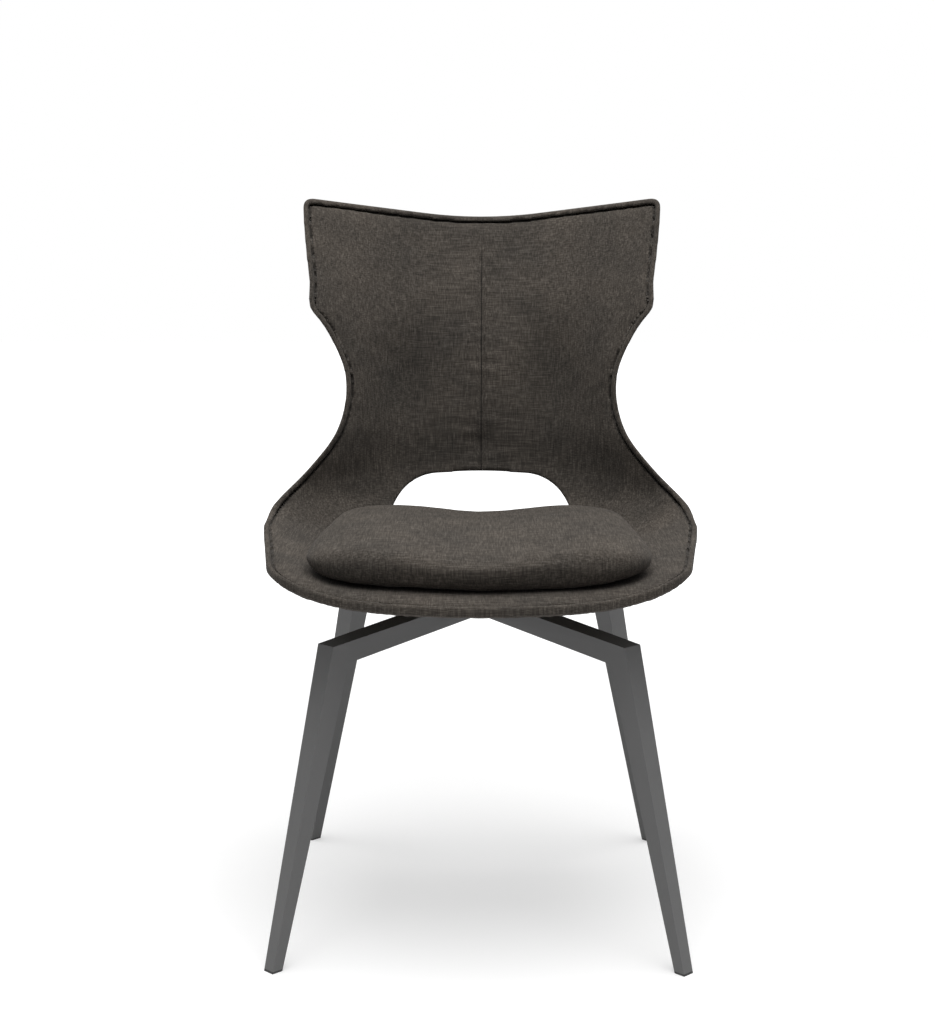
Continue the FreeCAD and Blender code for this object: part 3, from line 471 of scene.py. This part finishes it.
# Cushion, blown up from inside and held close to its solid
CUSHION_VOXEL, CUSHION_ROUNDS = 0.005, 22
CLOTH_FRAMES, CLOTH_REACH = 20, 0.002
CLOTH_SETTINGS = {"quality": 5, "mass": 0.3, "tension_stiffness": 12, "compression_stiffness": 12,
                  "shear_stiffness": 6, "bending_stiffness": 3, "use_pressure": True,
                  "uniform_pressure_force": 3.0}
cushion = remeshed(copy_of("seat_cushion", "cushion"), CUSHION_VOXEL, CUSHION_ROUNDS)
cloth = cushion.modifiers.new("cloth", "CLOTH")
for key, value in CLOTH_SETTINGS.items():
    setattr(cloth.settings, key, value)
cloth.settings.effector_weights.gravity = 0.0
cloth.point_cache.frame_start = 1
cloth.point_cache.frame_end = CLOTH_FRAMES
start = [vertex.co.copy() for vertex in cushion.data.vertices]
for moment in range(1, CLOTH_FRAMES + 1):
    bpy.context.scene.frame_set(moment)
graph = bpy.context.evaluated_depsgraph_get()
blown = [vertex.co.copy() for vertex in cushion.evaluated_get(graph).data.vertices]
cushion.modifiers.clear()
for vertex, before, after in zip(cushion.data.vertices, start, blown):
    step = after - before
    if step.length > CLOTH_REACH:
        step = step.normalized() * CLOTH_REACH
    vertex.co = before + step
bpy.context.scene.frame_set(1)
cushion.data.update()


def cushion_shift(place, normal):
    """Soft crown, sides tucked in low down, and slack creases on the front and the corners"""
    soft = noise.noise(Vector((place.x * 12.0, place.y * 12.0, place.z * 20.0)))
    shift = 0.0012 * soft + 0.0016 * max(0.0, normal.z) ** 0.5
    tuck = unit((0.470 - place.z) / 0.025) if normal.z < 0.5 else 0.0
    inward = Vector((-place.x, -0.05 - place.y, 0)).normalized() * 0.007 * tuck
    if normal.z < 0.6 and place.z < 0.485:
        shift += 0.0011 * noise.noise(Vector((place.x * 14.0, place.y * 14.0, place.z * 120.0)))
    return normal * shift + inward


moved(cushion, cushion_shift)
subdivision = cushion.modifiers.new("subdivision", "SUBSURF")
subdivision.levels = 1
subdivision.render_levels = 1
applied(cushion)
for piece, node, slot in ((front, "front_cover", "cover_fabric"), (rear, "rear_cover", "cover_fabric"),
                          (cushion, "seat_cushion", "cushion_fabric")):
    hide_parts(node)
    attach(piece, "seat")

# Pale floor, with a glow for the camera that grows from a distance on, so it ends in white
WHITE, FLOOR_GREY = (1.0, 1.0, 1.0, 1.0), (0.62, 0.62, 0.62, 1.0)
FLOOR_GLOW, FADE_START, FADE_RATE = 0.44, 1.2, 0.5
floor_data = bpy.data.meshes.new("floor")
floor_data.from_pydata([(-9, -6, 0), (9, -6, 0), (9, 12, 0), (-9, 12, 0)], [], [(0, 1, 2, 3)])
floor = bpy.data.objects.new("floor", floor_data)
bpy.context.scene.collection.objects.link(floor)
ground = material_nodes("pale_floor")
rays = ground.add("ShaderNodeLightPath").outputs
bounced = ground.number("MAXIMUM", rays["Is Glossy Ray"], rays["Is Transmission Ray"])
seen = ground.number("MAXIMUM", rays["Is Camera Ray"], bounced)
length = ground.made("ShaderNodeVectorMath", {0: ground.place()}, operation="LENGTH").outputs["Value"]
far = ground.number("MULTIPLY", ground.above(length, FADE_START), FADE_RATE)
glow = ground.number("MULTIPLY", seen, ground.number("ADD", FLOOR_GLOW, far))
diffuse = ground.made("ShaderNodeBsdfDiffuse", {"Color": FLOOR_GREY})
lift = ground.made("ShaderNodeEmission", {"Color": WHITE, "Strength": glow})
both = ground.made("ShaderNodeAddShader", {0: diffuse.outputs[0], 1: lift.outputs[0]})
ground.feed(ground.output.inputs[0], both.outputs[0])
floor_data.materials.append(ground.owner)

# World: plain white to the camera, and otherwise a dome that brightens from a height up to the top
DOME_LOW, DOME_SIDE, DOME_TOP = 0.25, 0.03, 1.15
sky = Nodes(bpy.data.worlds.new("studio"), "ShaderNodeOutputWorld")
bpy.context.scene.world = sky.owner
height = sky.axes(sky.add("ShaderNodeTexCoord").outputs["Generated"])[2]
strength = sky.spread(height, DOME_SIDE, DOME_TOP, from_min=DOME_LOW)
dome = sky.made("ShaderNodeBackground", {"Color": WHITE, "Strength": strength})
white = sky.made("ShaderNodeBackground", {"Color": WHITE, "Strength": 1.0})
camera_ray = sky.add("ShaderNodeLightPath").outputs["Is Camera Ray"]
mixer = sky.made("ShaderNodeMixShader", {0: camera_ray, 1: dome.outputs[0], 2: white.outputs[0]})
sky.feed(sky.output.inputs[0], mixer.outputs[0])


def lamp(name, place, target, width, power):
    """Square soft box aimed at a point"""
    data = bpy.data.lights.new(name, "AREA")
    data.shape = "SQUARE"
    data.size = width
    data.energy = power
    light = bpy.data.objects.new(name, data)
    bpy.context.scene.collection.objects.link(light)
    light.location = place
    direction = Vector(target) - Vector(place)
    light.rotation_euler = direction.to_track_quat("-Z", "Y").to_euler()


lamp("overhead", (0.1, -0.7, 3.2), (0, 0, 0.2), 2.3, 76.0)
lamp("front_low", (0.9, -3.6, 0.5), (0, 0, 0.1), 1.8, 4.0)
